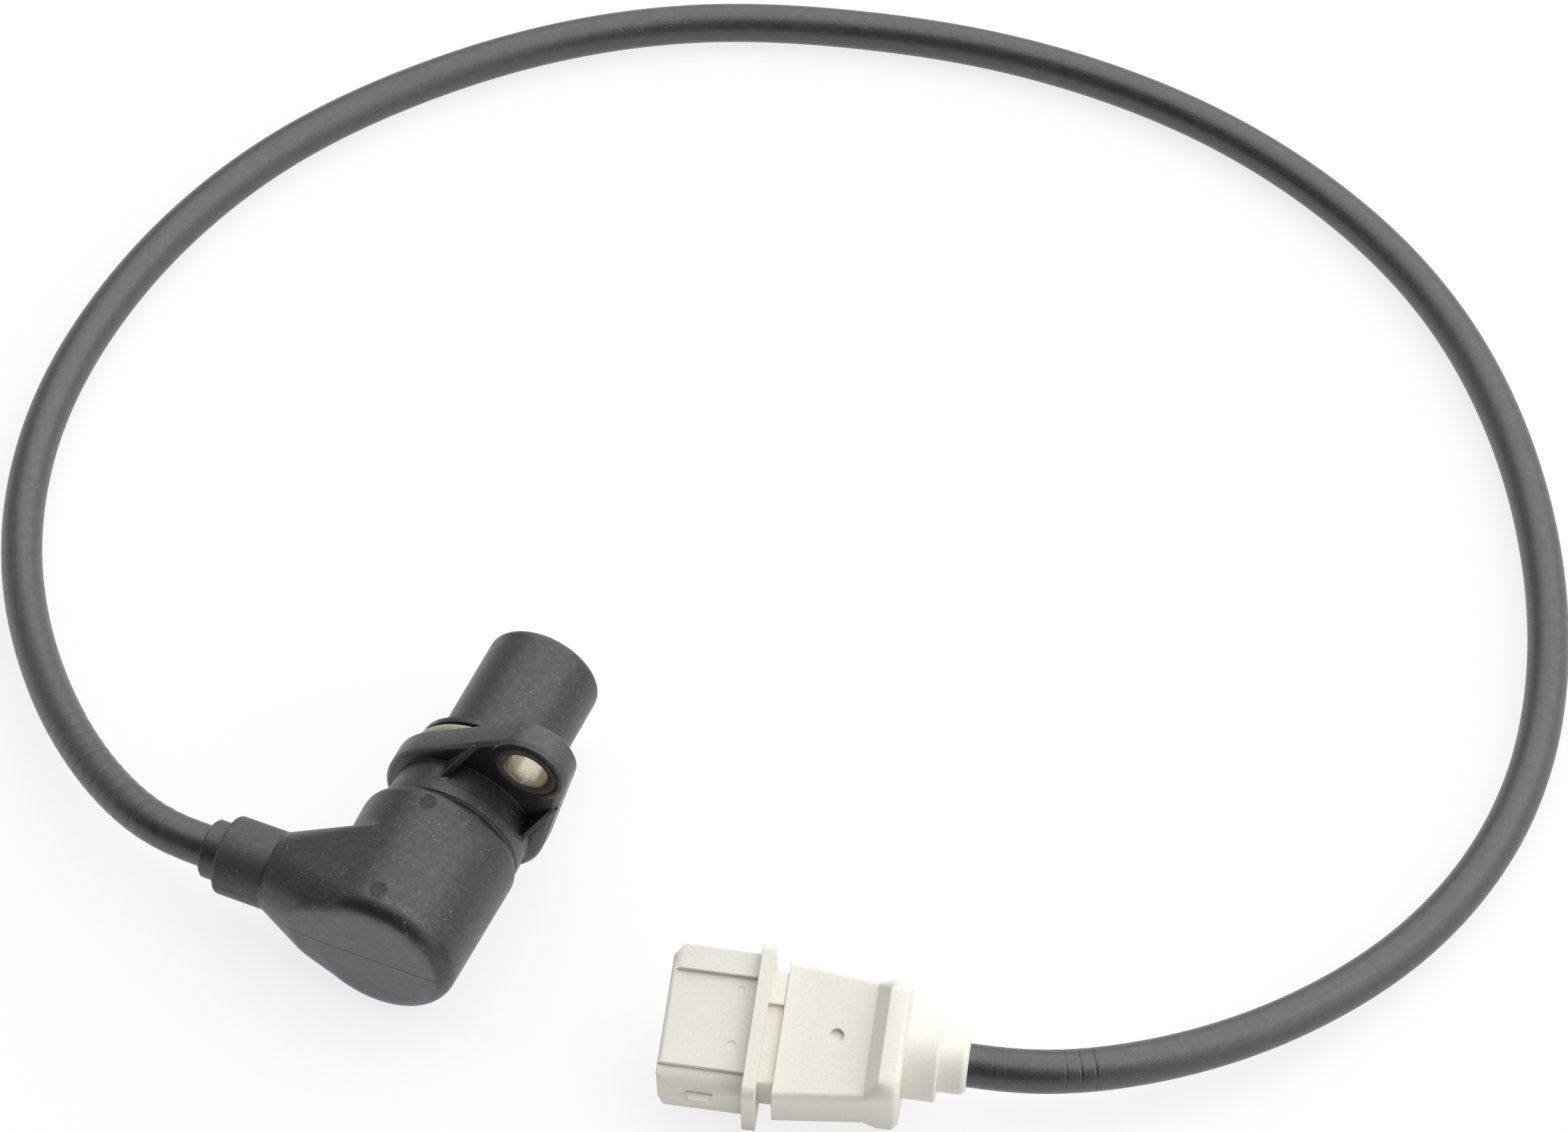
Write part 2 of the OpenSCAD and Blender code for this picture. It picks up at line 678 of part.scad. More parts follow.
// Pale grey boot moulded round the shell's tongue, the cores and the jacket
module plug_boot() {
    color([0.82, 0.8, 0.75]) on_plug() difference() {
        union() {
            hull() {
                plug_run(boot_at, boot_at + 0.1) round_rect(boot_w, boot_t, boot_corner);
                plug_run(slope_at, slope_at + 0.1) round_rect(boot_end_w, boot_t, boot_corner);
            }
            hull() {
                plug_run(slope_at, slope_at + 0.1) round_rect(boot_end_w, boot_t, boot_corner);
                plug_run(rib_at, tail_at - 0.9) round_rect(boot_end_w, end_rib_t, rib_corner);
                plug_run(tail_at - 0.1, tail_at) round_rect(boot_end_w - 1.4, end_rib_t - 1.4, rib_corner);
            }
            rotate([0, 90, 0]) rotate_extrude() polygon(concat(
                [[0, tail_at - 1], [tail_d / 2, tail_at - 1]],
                arc([tail_d / 2 - 0.4, tip_at - 0.4], 0.4, 0, 90, 3),
                [[tip_d / 2, tip_at]], arc([tip_d / 2 - 1, plug_end - 1], 1, 0, 90, 4),
                [[0, plug_end]]));
        }
        plug_run(boot_at - 1, spigot_end) round_rect(tongue_w, tongue_t, 0.5);
        for (k = [-1 : 1]) {
            blade(k);
            plug_core_run(k, channel_d);
        }
        translate([plug_jacket_in, 0, 0]) rotate([0, 90, 0]) cylinder(d = lead_d, h = 20);
        translate([boot_at + dimple_back, 0, boot_t / 2 - dimple_depth]) cylinder(r = dimple_r, h = 1, $fn = 32);
    }
}

nose_shell();
mounting_sleeve();
sealing_ring();
pole_pin();
coil_bobbin();
coil_winding();
magnet();
terminal_upper();
terminal_lower();
core_upper();
core_lower();
elbow_body();
lead_grommet();
lead_jacket();
plug_shell();
plug_boot();
blade_left();
blade_middle();
blade_right();
plug_core_left();
plug_core_middle();
plug_core_right();
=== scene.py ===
# Crankshaft position sensor with its lead and three-way plug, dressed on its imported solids.
import json
import math

import bpy
import numpy as np
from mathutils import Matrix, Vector


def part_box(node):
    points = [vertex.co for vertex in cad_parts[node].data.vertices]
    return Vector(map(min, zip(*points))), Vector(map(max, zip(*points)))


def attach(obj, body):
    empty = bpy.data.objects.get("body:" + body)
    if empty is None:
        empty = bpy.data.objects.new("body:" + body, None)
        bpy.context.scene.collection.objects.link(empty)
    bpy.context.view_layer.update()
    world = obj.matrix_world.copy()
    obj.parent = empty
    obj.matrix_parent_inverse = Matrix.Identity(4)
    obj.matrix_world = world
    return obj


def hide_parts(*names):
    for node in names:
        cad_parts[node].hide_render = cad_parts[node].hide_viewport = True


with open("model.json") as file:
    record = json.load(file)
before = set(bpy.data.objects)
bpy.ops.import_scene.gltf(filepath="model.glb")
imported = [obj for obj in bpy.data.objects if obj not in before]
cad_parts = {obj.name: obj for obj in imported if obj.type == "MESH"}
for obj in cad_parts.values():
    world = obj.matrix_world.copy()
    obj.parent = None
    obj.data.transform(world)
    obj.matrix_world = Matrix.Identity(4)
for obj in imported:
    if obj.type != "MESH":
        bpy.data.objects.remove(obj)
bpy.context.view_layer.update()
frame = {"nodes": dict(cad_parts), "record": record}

# Coil unit: a ground soft-iron pin, a moulded bobbin, the enamelled winding on its hub and a round
# pressed magnet in its cup. It is slid into the nose as one unit, and nothing of it shows but the pin's end.
solids = frame["nodes"]
SHARP_TURN = math.radians(50)
SAME_POINT = 3e-6


def finish_of(name, colour, rough, metal=0.0):
    """New finish with a plain colour, roughness and metal share; gives it with its nodes and its shader."""
    finish = bpy.data.materials.new(name)
    finish.use_nodes = True
    tree = finish.node_tree
    skin = tree.nodes["Principled BSDF"]
    skin.inputs["Base Color"].default_value = (*colour, 1.0)
    skin.inputs["Roughness"].default_value = rough
    skin.inputs["Metallic"].default_value = metal
    return finish, tree, skin


def on_part(tree, squeeze=(1.0, 1.0, 1.0)):
    """Place on the part, in its own frame; a squeeze above 1 makes patterns finer along that axis."""
    place = tree.nodes.new("ShaderNodeTexCoord")
    scale = tree.nodes.new("ShaderNodeMapping")
    scale.inputs["Scale"].default_value = squeeze
    tree.links.new(place.outputs["Object"], scale.inputs["Vector"])
    return scale.outputs["Vector"]


def cloud(tree, where, size, detail=3.0):
    """Soft random pattern whose lumps are about size millimetres across."""
    lumps = tree.nodes.new("ShaderNodeTexNoise")
    lumps.inputs["Scale"].default_value = 1000.0 / size
    lumps.inputs["Detail"].default_value = detail
    tree.links.new(where, lumps.inputs["Vector"])
    return lumps.outputs["Fac"]


def shades(tree, amount, low, high, start=0.3, end=0.7):
    """Goes from one tone to another while an amount goes from start to end; a tone is a colour or a grey."""
    ramp = tree.nodes.new("ShaderNodeValToRGB")
    for mark, at, tone in zip(ramp.color_ramp.elements, (start, end), (low, high)):
        mark.position = at
        mark.color = (*(tone if isinstance(tone, tuple) else (tone,) * 3), 1.0)
    tree.links.new(amount, ramp.inputs["Fac"])
    return ramp.outputs["Color"]


def clouded(tree, skin, size, share):
    """Gives the skin's plain colour soft clouds of about size millimetres, darker and lighter by a share."""
    plain = skin.inputs["Base Color"].default_value[:3]
    dark, light = [tuple(part * (1 + change) for part in plain) for change in (-share, share)]
    tree.links.new(shades(tree, cloud(tree, on_part(tree), size), dark, light), skin.inputs["Base Color"])


def relief(tree, skin, height, depth):
    """Fine relief of depth millimetres, laid over what already shapes the skin."""
    bump = tree.nodes.new("ShaderNodeBump")
    bump.inputs["Distance"].default_value = depth / 1000.0
    tree.links.new(height, bump.inputs["Height"])
    for earlier in skin.inputs["Normal"].links:
        tree.links.new(earlier.from_socket, bump.inputs["Normal"])
    tree.links.new(bump.outputs["Normal"], skin.inputs["Normal"])


def dress(node, finish):
    """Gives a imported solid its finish."""
    solids[node].data.materials.clear()
    solids[node].data.materials.append(finish)


# Shades faces smooth, but keeps every edge crisp that turns more than SHARP_TURN.
even_shading = bpy.data.node_groups.new("even_shading", "GeometryNodeTree")
even_shading.interface.new_socket(name="Geometry", in_out="INPUT", socket_type="NodeSocketGeometry")
even_shading.interface.new_socket(name="Geometry", in_out="OUTPUT", socket_type="NodeSocketGeometry")
came = even_shading.nodes.new("NodeGroupInput")
went = even_shading.nodes.new("NodeGroupOutput")
turn_of_edge = even_shading.nodes.new("GeometryNodeInputMeshEdgeAngle")
is_soft = even_shading.nodes.new("FunctionNodeCompare")
is_soft.operation = "LESS_EQUAL"
is_soft.inputs[1].default_value = SHARP_TURN
smooth_faces = even_shading.nodes.new("GeometryNodeSetShadeSmooth")
smooth_edges = even_shading.nodes.new("GeometryNodeSetShadeSmooth")
smooth_edges.domain = "EDGE"
even_shading.links.new(turn_of_edge.outputs["Unsigned Angle"], is_soft.inputs[0])
even_shading.links.new(came.outputs["Geometry"], smooth_faces.inputs["Geometry"])
even_shading.links.new(smooth_faces.outputs["Geometry"], smooth_edges.inputs["Geometry"])
even_shading.links.new(is_soft.outputs["Result"], smooth_edges.inputs["Shade Smooth"])
even_shading.links.new(smooth_edges.outputs["Geometry"], went.inputs["Geometry"])


def ease(node, edge=0.0):
    """Joins a solid's faces, rounds its sharp edges by edge millimetres and shades its curves evenly."""
    weld = solids[node].modifiers.new("joined_faces", "WELD")
    weld.merge_threshold = SAME_POINT
    if edge:
        rounding = solids[node].modifiers.new("rounded_edges", "BEVEL")
        rounding.limit_method = "ANGLE"
        rounding.angle_limit = SHARP_TURN
        rounding.width = edge / 1000.0
        rounding.segments = 2
        rounding.use_clamp_overlap = False
    solids[node].modifiers.new("even_shading", "NODES").node_group = even_shading
    broad = solids[node].modifiers.new("flat_faces_kept", "WEIGHTED_NORMAL")
    broad.keep_sharp = True


iron, tree, skin = finish_of("ground_iron", (0.42, 0.42, 0.44), rough=0.35, metal=1.0)
scratches = cloud(tree, on_part(tree, squeeze=(1.0, 1.0, 14.0)), size=0.6)
tree.links.new(shades(tree, scratches, 0.24, 0.5), skin.inputs["Roughness"])
clouded(tree, skin, size=1.5, share=0.12)
relief(tree, skin, scratches, depth=0.004)
dress("pole_pin", iron)
ease("pole_pin")

bobbin_black, tree, skin = finish_of("bobbin_black", (0.05, 0.05, 0.055), rough=0.5)
clouded(tree, skin, size=1.2, share=0.2)
relief(tree, skin, cloud(tree, on_part(tree), size=0.3), depth=0.01)
dress("coil_bobbin", bobbin_black)

copper, tree, skin = finish_of("wound_copper", (0.55, 0.2, 0.07), rough=0.3, metal=0.9)
turns = tree.nodes.new("ShaderNodeTexWave")
turns.bands_direction = "Y"
turns.inputs["Scale"].default_value = 1200.0
turns.inputs["Distortion"].default_value = 0.4
tree.links.new(on_part(tree), turns.inputs["Vector"])
wire = shades(tree, turns.outputs["Fac"], (0.25, 0.07, 0.02), (0.6, 0.24, 0.09), start=0.0, end=0.6)
tree.links.new(wire, skin.inputs["Base Color"])
relief(tree, skin, turns.outputs["Fac"], depth=0.05)
dress("coil_winding", copper)

pressed, tree, skin = finish_of("pressed_magnet", (0.16, 0.16, 0.17), rough=0.55, metal=0.8)
clouded(tree, skin, size=0.8, share=0.2)
relief(tree, skin, cloud(tree, on_part(tree), size=0.4), depth=0.02)
dress("magnet", pressed)

# Terminal strips and cores: stamped tinned brass strips welded to the winding's ends, and the lead's
# two insulated cores soldered onto them. The elbow is moulded round them all.
BARE_BRASS, FRESH_TIN = (0.62, 0.58, 0.48), (0.76, 0.75, 0.7)
tinned, tree, skin = finish_of("tinned_brass", (0.72, 0.7, 0.63), rough=0.32, metal=1.0)
rolling = cloud(tree, on_part(tree, squeeze=(1.0, 1.0, 8.0)), size=0.8)
tree.links.new(shades(tree, rolling, 0.26, 0.46, end=0.75), skin.inputs["Roughness"])
tin_worn_thin = cloud(tree, on_part(tree), size=2.5)
tree.links.new(shades(tree, tin_worn_thin, BARE_BRASS, FRESH_TIN), skin.inputs["Base Color"])
for node in ("terminal_upper", "terminal_lower"):
    dress(node, tinned)


def insulation(name, colour, share):
    """Smooth extruded plastic round a core, with slight clouds in its colour."""
    finish, tree, skin = finish_of(name, colour, rough=0.45)
    clouded(tree, skin, size=2.0, share=share)
    relief(tree, skin, cloud(tree, on_part(tree), size=0.5), depth=0.01)
    return finish


white_core = insulation("white_insulation", (0.75, 0.75, 0.71), share=0.05)
brown_core = insulation("brown_insulation", (0.16, 0.075, 0.035), share=0.15)
dress("core_upper", white_core)
dress("core_lower", brown_core)

# Nose shell: one black glass-filled moulding with the nose, the land, the flange with its ear and ribs,
# and the neck. The mould left a fine satin grain, a painted highlight lightens the flange's rim and the
# nose's tip, and pale dust has settled on it.
mounts = {mount["name"]: mount for mount in frame["record"]["mounts"]}
NOSE_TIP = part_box("nose_shell")[1][1]
FLANGE_FRONT = mounts["sleeve_face"]["pos_m"][1]
FLANGE_THICK = 0.0045
FLANGE_BACK = FLANGE_FRONT - FLANGE_THICK
BLACK, GREYED_BLACK = (0.009, 0.009, 0.01), (0.019, 0.019, 0.02)
PAINTED_HIGHLIGHT_GREY = (0.045, 0.045, 0.047)
DUST_GREY = (0.5, 0.5, 0.5)


def reckon(tree, kind, first, second=0.0):
    """Result of a plain sum, root or comparison of one or two values, each a socket or a number."""
    step = tree.nodes.new("ShaderNodeMath")
    step.operation = kind
    for k, value in enumerate((first, second)):
        if isinstance(value, (int, float)):
            step.inputs[k].default_value = value
        else:
            tree.links.new(value, step.inputs[k])
    return step.outputs["Value"]


def product(tree, first, *others):
    """Product of some values, each a socket or a number."""
    for other in others:
        first = reckon(tree, "MULTIPLY", first, other)
    return first


def spread(tree, value, low, high, to_low=0.0, to_high=1.0):
    """Carries a value from one range over to another, and holds it at the ends."""
    span = tree.nodes.new("ShaderNodeMapRange")
    for name, number in (("From Min", low), ("From Max", high), ("To Min", to_low), ("To Max", to_high)):
        span.inputs[name].default_value = number
    tree.links.new(value, span.inputs["Value"])
    return span.outputs["Result"]


def tinted(tree, amount, under, over):
    """Lays a colour over another by an amount; the one below is a socket, the one above a colour."""
    blend = tree.nodes.new("ShaderNodeMix")
    blend.data_type = "RGBA"
    blend.inputs["B"].default_value = (*over, 1.0)
    tree.links.new(amount, blend.inputs["Factor"])
    tree.links.new(under, blend.inputs["A"])
    return blend.outputs["Result"]


def split_place(tree, where):
    """The three coordinates of a place."""
    split = tree.nodes.new("ShaderNodeSeparateXYZ")
    tree.links.new(where, split.inputs["Vector"])
    return split.outputs["X"], split.outputs["Y"], split.outputs["Z"]


def facing_of(tree):
    """The three coordinates of the way that the surface faces."""
    lie = tree.nodes.new("ShaderNodeNewGeometry")
    return split_place(tree, lie.outputs["Normal"])


def settled_dust(tree, where):
    """Share of pale specks, up to about a fifth of a millimetre across, on the faces that look up."""
    dots = tree.nodes.new("ShaderNodeTexVoronoi")
    dots.inputs["Scale"].default_value = 1800.0
    tree.links.new(where, dots.inputs["Vector"])
    reach = spread(tree, cloud(tree, where, size=2.2, detail=4.0), 0.3, 0.72, 0.0, 0.19)
    speck = reckon(tree, "LESS_THAN", dots.outputs["Distance"], reach)
    faint = spread(tree, cloud(tree, where, size=1.1), 0.3, 0.7, 0.12, 0.75)
    upward = spread(tree, facing_of(tree)[2], -0.1, 0.3)
    return product(tree, speck, faint, upward)


def black_moulding(name):
    """Satin black plastic with mould grain; gives the finish and what marks, dust and painted light on it
    are worked into.
    """
    finish, tree, skin = finish_of(name, (0.018, 0.018, 0.019), rough=0.42)
    skin.inputs["IOR"].default_value = 1.64
    where = on_part(tree)
    colour = shades(tree, cloud(tree, where, size=0.6, detail=6.0), BLACK, GREYED_BLACK)
    rough = shades(tree, cloud(tree, where, size=1.6), 0.32, 0.42, start=0.25, end=0.75)
    sheen = spread(tree, cloud(tree, where, size=0.9, detail=5.0), 0.3, 0.7, 0.41, 0.59)
    relief(tree, skin, cloud(tree, where, size=0.14), depth=0.026)
    return finish, tree, skin, where, colour, rough, sheen


def laid_in(tree, skin, colour, rough, sheen):
    """Gives the skin its finished colour, roughness and sheen."""
    for name, value in (("Base Color", colour), ("Roughness", rough), ("Specular IOR Level", sheen)):
        tree.links.new(value, skin.inputs[name])


nose_black, tree, skin, where, colour, rough, sheen = black_moulding("nose_black")
along_nose = split_place(tree, where)[1]
# Painted highlight: a lighter grey, in patches, on the flange's rim where it faces sideways and round the
# nose's tip.
sideways = spread(tree, reckon(tree, "ABSOLUTE", facing_of(tree)[1]), 0.7, 0.3)
past_back = spread(tree, along_nose, FLANGE_BACK - 0.0003, FLANGE_BACK + 0.0001)
before_front = spread(tree, along_nose, FLANGE_FRONT + 0.0001, FLANGE_FRONT - 0.0002)
at_tip = spread(tree, along_nose, NOSE_TIP - 0.0016, NOSE_TIP - 0.0006)
patchy = spread(tree, cloud(tree, where, size=0.5, detail=5.0), 0.3, 0.7, 0.6, 1.0)
on_rim = product(tree, sideways, past_back, before_front)
painted_highlight = product(tree, reckon(tree, "MAXIMUM", on_rim, at_tip), patchy)
colour = tinted(tree, painted_highlight, colour, PAINTED_HIGHLIGHT_GREY)
colour = tinted(tree, settled_dust(tree, where), colour, DUST_GREY)
laid_in(tree, skin, colour, rough, sheen)
dress("nose_shell", nose_black)
ease("nose_shell", edge=0.12)

# Metal sleeve: a short turned and plated tube moulded into the ear, so that the bolt clamps metal
# and not plastic. Its bore is bright and its end has dulled.
SLEEVE_AXIS = mounts["bolt_sleeve"]["pos_m"]
BORE_R = mounts["bolt_sleeve"]["dims"]["r_mm"] / 1000
PLATING, DULLED = (0.34, 0.305, 0.24), (0.13, 0.127, 0.11)


def square_from(tree, first, second):
    """Square of the distance from a line; each pair is a coordinate of the place and of the line."""
    off = [reckon(tree, "SUBTRACT", value, line) for value, line in (first, second)]
    return reckon(tree, "ADD", *[product(tree, value, value) for value in off])


plated, tree, skin = finish_of("plated_sleeve", PLATING, rough=0.3, metal=1.0)
where = on_part(tree)
x, y, z = split_place(tree, where)
radius = reckon(tree, "SQRT", square_from(tree, (x, SLEEVE_AXIS[0]), (z, SLEEVE_AXIS[2])))
end_face = spread(tree, radius, BORE_R + 0.00006, BORE_R + 0.0002)
stain = product(tree, end_face, shades(tree, cloud(tree, where, size=0.9, detail=5.0), 1.0, 0.8, end=0.75))
tree.links.new(shades(tree, stain, PLATING, DULLED, start=0.0, end=1.0), skin.inputs["Base Color"])
turning = cloud(tree, on_part(tree, squeeze=(1.0, 9.0, 1.0)), size=1.2)
rough = reckon(tree, "ADD", product(tree, end_face, 0.3), shades(tree, turning, 0.2, 0.42))
tree.links.new(rough, skin.inputs["Roughness"])
relief(tree, skin, turning, depth=0.008)
dress("mounting_sleeve", plated)
ease("mounting_sleeve")

# Sealing ring: a moulded ring of pale green rubber, stretched over the nose into the groove behind the
# land, where it closes the hole that the nose goes into.
green_rubber, tree, skin = finish_of("green_rubber", (0.4, 0.48, 0.31), rough=0.42)
green = shades(tree, cloud(tree, on_part(tree), size=1.5), (0.24, 0.3, 0.19), (0.33, 0.39, 0.27))
tree.links.new(green, skin.inputs["Base Color"])
relief(tree, skin, cloud(tree, on_part(tree), size=0.25), depth=0.006)
dress("sealing_ring", green_rubber)
ease("sealing_ring")

# Elbow: the second black moulding, cast round the neck, the strips and the lead. The two halves of its
# mould left a fine line at the height of the nose's axis, and the pins that push it out left round marks.
# Its rear face is laid over in a painted reflection of pale bluish grey, its collar in a painted sheen of
# lighter grey, and broken pale streaks run along the start of the rounding above the rear face.
PARTING_LEVEL = mounts["nose"]["pos_m"][2]
# Distances from the line at which its shade begins and is full, and its groove is deepest and ends.
LINE_SHADE, LINE_GROOVE = (0.00011, 0.00004), (0.00003, 0.0001)
BACK_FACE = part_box("elbow_body")[0][1]
BACK_ROUND = 0.0032
STREAK_HEIGHT, STREAK_SIDE = (0.02, 0.023), (0.0035, 0.006)
WING_END = -0.01336
EJECTOR_MARKS = [(0.00614, -0.0086), (0.00644, -0.0256)]
EJECTOR_R = 0.00135
REAR_REFLECTION_GREY, COLLAR_SHEEN_GREY, STREAK_GREY = (0.106, 0.107, 0.125), (0.034, 0.034, 0.037), (0.09, 0.09, 0.095)
MARK_BLACK, LINE_BLACK = (0.006, 0.006, 0.006), (0.002, 0.002, 0.002)
elbow_black, tree, skin, where, colour, rough, sheen = black_moulding("elbow_black")
x, y, z = split_place(tree, where)
# Painted reflection: where the elbow faces rearwards it is laid over in pale bluish grey, in patches.
patchy = spread(tree, cloud(tree, where, size=0.4, detail=5.0), 0.3, 0.7, 0.7, 1.0)
painted_rear_reflection = product(tree, spread(tree, facing_of(tree)[1], -0.86, -0.96), patchy)
colour = tinted(tree, painted_rear_reflection, colour, REAR_REFLECTION_GREY)
# Painted sheen: the collar is laid over in a lighter grey; its added roughness gives it a coarser grain.
collar = spread(tree, x, WING_END + 0.0001, WING_END - 0.0002)
colour = tinted(tree, collar, colour, COLLAR_SHEEN_GREY)
rough = reckon(tree, "ADD", rough, product(tree, collar, 0.12))
for mark_x, mark_y in EJECTOR_MARKS:
    away = square_from(tree, (x, mark_x), (y, mark_y))
    disc = spread(tree, away, (EJECTOR_R * 1.08) ** 2, (EJECTOR_R * 0.85) ** 2)
    disc = product(tree, disc, reckon(tree, "GREATER_THAN", z, PARTING_LEVEL))
    colour = tinted(tree, disc, colour, MARK_BLACK)
    rough = reckon(tree, "ADD", rough, product(tree, disc, 0.14))
    sheen = reckon(tree, "SUBTRACT", sheen, product(tree, disc, 0.12))
# Lighter grey in broken streaks along the start of the rounding above the rear face, towards its upper
# right.
pale_streaks = product(tree, spread(tree, cloud(tree, where, size=0.7, detail=5.0), 0.5, 0.68, 0.0, 0.7),
                 spread(tree, y, BACK_FACE + 1.3 * BACK_ROUND, BACK_FACE + 1.05 * BACK_ROUND),
                 spread(tree, z, *STREAK_HEIGHT),
                 spread(tree, y, BACK_FACE + 0.7 * BACK_ROUND, BACK_FACE + 0.85 * BACK_ROUND),
                 spread(tree, x, *STREAK_SIDE))
colour = tinted(tree, pale_streaks, colour, STREAK_GREY)
colour = tinted(tree, settled_dust(tree, where), colour, DUST_GREY)
from_line = reckon(tree, "ABSOLUTE", reckon(tree, "SUBTRACT", z, PARTING_LEVEL))
colour = tinted(tree, spread(tree, from_line, *LINE_SHADE), colour, LINE_BLACK)
relief(tree, skin, spread(tree, from_line, *LINE_GROOVE), depth=0.06)
laid_in(tree, skin, colour, rough, sheen)
dress("elbow_body", elbow_black)
ease("elbow_body")

# Grommet: a soft black rubber sleeve round the lead, moulded in one piece and gripped by the elbow's
# collar. It keeps the lead from kinking where it comes out.
soft_black, tree, skin = finish_of("soft_black", (0.03, 0.03, 0.031), rough=0.4)
skin.inputs["IOR"].default_value = 1.68
clouded(tree, skin, size=0.6, share=0.3)
dulled = shades(tree, cloud(tree, on_part(tree), size=1.2), 0.34, 0.46)
tree.links.new(dulled, skin.inputs["Roughness"])
relief(tree, skin, cloud(tree, on_part(tree), size=0.2), depth=0.015)
dress("lead_grommet", soft_black)
ease("lead_grommet", edge=0.15)

# Lead: a shielded two-core cable with a satin dark grey rubber jacket, about 0.6 m from the grommet to the
# plug. It leaves the collar straight, drops to the floor and lies there in one wide loop. The jacket is
# creased where the bends near its two ends press it together.
LEAD_D = 0.0064
SENSOR_END = Vector((-0.0242585, -0.02065, 0.0129))
PLUG_MOUTH = Vector(mounts["plug_mouth"]["pos_m"])
PLUG_WAY = -Vector(mounts["plug_mouth"]["axis"])
PLUG_LENGTH = 0.0442
PLUG_END = PLUG_MOUTH + PLUG_LENGTH * PLUG_WAY
STRAIGHT_AT_SENSOR, STRAIGHT_AT_PLUG = 0.012, 0.014
FLOOR_GAP = 0.00005
ON_FLOOR = LEAD_D / 2 + FLOOR_GAP
# Points that guide the lead; one without a height lies on the floor.
ROUTE_MM = [(-58, -6, 8), (-80, 20, 3.5), (-91, 48), (-93, 74), (-90, 98), (-82, 121), (-68, 142),
            (-51, 160), (-30, 174), (-6, 182), (18, 187), (44, 187), (68, 182), (92, 171), (111, 156),
            (127, 136), (139, 114), (147, 91), (150, 66), (144, 38, 3.5), (127, 11, 6)]
CURVE_STEPS = 60
knots = [SENSOR_END + Vector((STRAIGHT_AT_SENSOR * k, 0, 0)) for k in (1, 0, -1)]
knots += [Vector((p[0] / 1000, p[1] / 1000, p[2] / 1000 if len(p) > 2 else ON_FLOOR)) for p in ROUTE_MM]
knots += [PLUG_END + STRAIGHT_AT_PLUG * k * PLUG_WAY for k in (1, 0, -1)]


def along_route(t):
    """Point of the smooth curve that the route's points guide, t in stretches."""
    k = min(int(t), len(knots) - 4)
    w = t - k
    a, b, c, d = knots[k:k + 4]
    return ((1 - w) ** 3 * a + (3 * w ** 3 - 6 * w * w + 4) * b
            + (3 * w + 3 * w * w - 3 * w ** 3 + 1) * c + w ** 3 * d) / 6


fine_line = np.array([along_route(i / CURVE_STEPS) for i in range((len(knots) - 3) * CURVE_STEPS + 1)])
run = np.concatenate([[0.0], np.cumsum(np.linalg.norm(np.diff(fine_line, axis=0), axis=1))])
lead_length = float(run[-1])


def on_lead(at):
    """Point of the lead's middle line at a distance from the grommet, straight on past both ends."""
    if at < 0:
        return SENSOR_END - Vector((at, 0, 0))
    if at > lead_length:
        return PLUG_END - (at - lead_length) * PLUG_WAY
    return Vector([np.interp(at, run, fine_line[:, k]) for k in range(3)])


# Creases near each end: the distance from that end and the depth of the cut.
SENSOR_CREASES_MM = [(5.2, 0.01), (7.3, 0.02), (9.7, 0.01), (12.0, 0.03), (14.2, 0.02), (16.8, 0.05),
                     (18.9, 0.02), (21.3, 0.06), (23.4, 0.03), (26.0, 0.05), (28.1, 0.02), (30.6, 0.04),
                     (32.8, 0.02), (35.6, 0.03)]
PLUG_CREASES_MM = [(3.6, 0.03), (5.4, 0.04), (8.2, 0.02), (10.8, 0.02), (13.7, 0.07), (15.8, 0.1),
                   (17.9, 0.11)]
DENT_DEEP_MM = 0.05
DENT_WIDE, CUT_WIDE = 0.0007, 0.00012
# Depth of a cut at which its painted shade is full.
FULLY_SHADED_CUT = 0.00009
dents = [(at / 1000, DENT_DEEP_MM / 1000) for at, deep in SENSOR_CREASES_MM]
cuts = [(at / 1000, deep / 1000) for at, deep in SENSOR_CREASES_MM]
cuts += [(lead_length - at / 1000, deep / 1000) for at, deep in PLUG_CREASES_MM]


def fold_depth(at, folds, wide):
    """Depth of the folds at a distance from the grommet, each a soft notch."""
    near = [(place, deep) for place, deep in folds if abs(at - place) < 3 * wide]
    return sum(deep * math.exp(-((at - place) / wide) ** 2) for place, deep in near)


LAP_AT_SENSOR, LAP_AT_PLUG = 0.0144, 0.0125
CREASED_STRETCHES = [(0.004, 0.04), (lead_length - 0.02, lead_length - 0.003)]
FINE_STEP, WIDE_STEP = 0.0001, 0.0012
LOOK_ALONG = 0.0004
LEAD_SIDES = 32
stations = []
at = -LAP_AT_SENSOR
while at < lead_length + LAP_AT_PLUG:
    stations.append(at)
    at += FINE_STEP if any(start < at < end for start, end in CREASED_STRETCHES) else WIDE_STEP
stations.append(lead_length + LAP_AT_PLUG)
lead_path = [on_lead(at) for at in stations]
points, faces, crease_shade_share = [], [], []
for middle, at in zip(lead_path, stations):
    way = (on_lead(at + LOOK_ALONG) - on_lead(at - LOOK_ALONG)).normalized()
    across = Vector((0, 0, 1)).cross(way).normalized()
    upward = way.cross(across)
    dent = fold_depth(at, dents, DENT_WIDE)
    cut = fold_depth(at, cuts, CUT_WIDE)
    for j in range(LEAD_SIDES):
        turn = 2 * math.pi * j / LEAD_SIDES
        # A dent is deepest on the inside of the bend, and a cut fades out unevenly towards the underside.
        dent_here = dent * (0.75 - 0.25 * math.cos(turn))
        cut_here = cut * min(1.0, max(0.0, 0.3 + math.sin(turn) + 0.25 * math.sin(3 * turn + 900 * at)))
        outward = math.cos(turn) * across + math.sin(turn) * upward
        points.append(middle + (LEAD_D / 2 - (dent_here + cut_here)) * outward)
        crease_shade_share.append(min(1.0, cut_here / FULLY_SHADED_CUT))
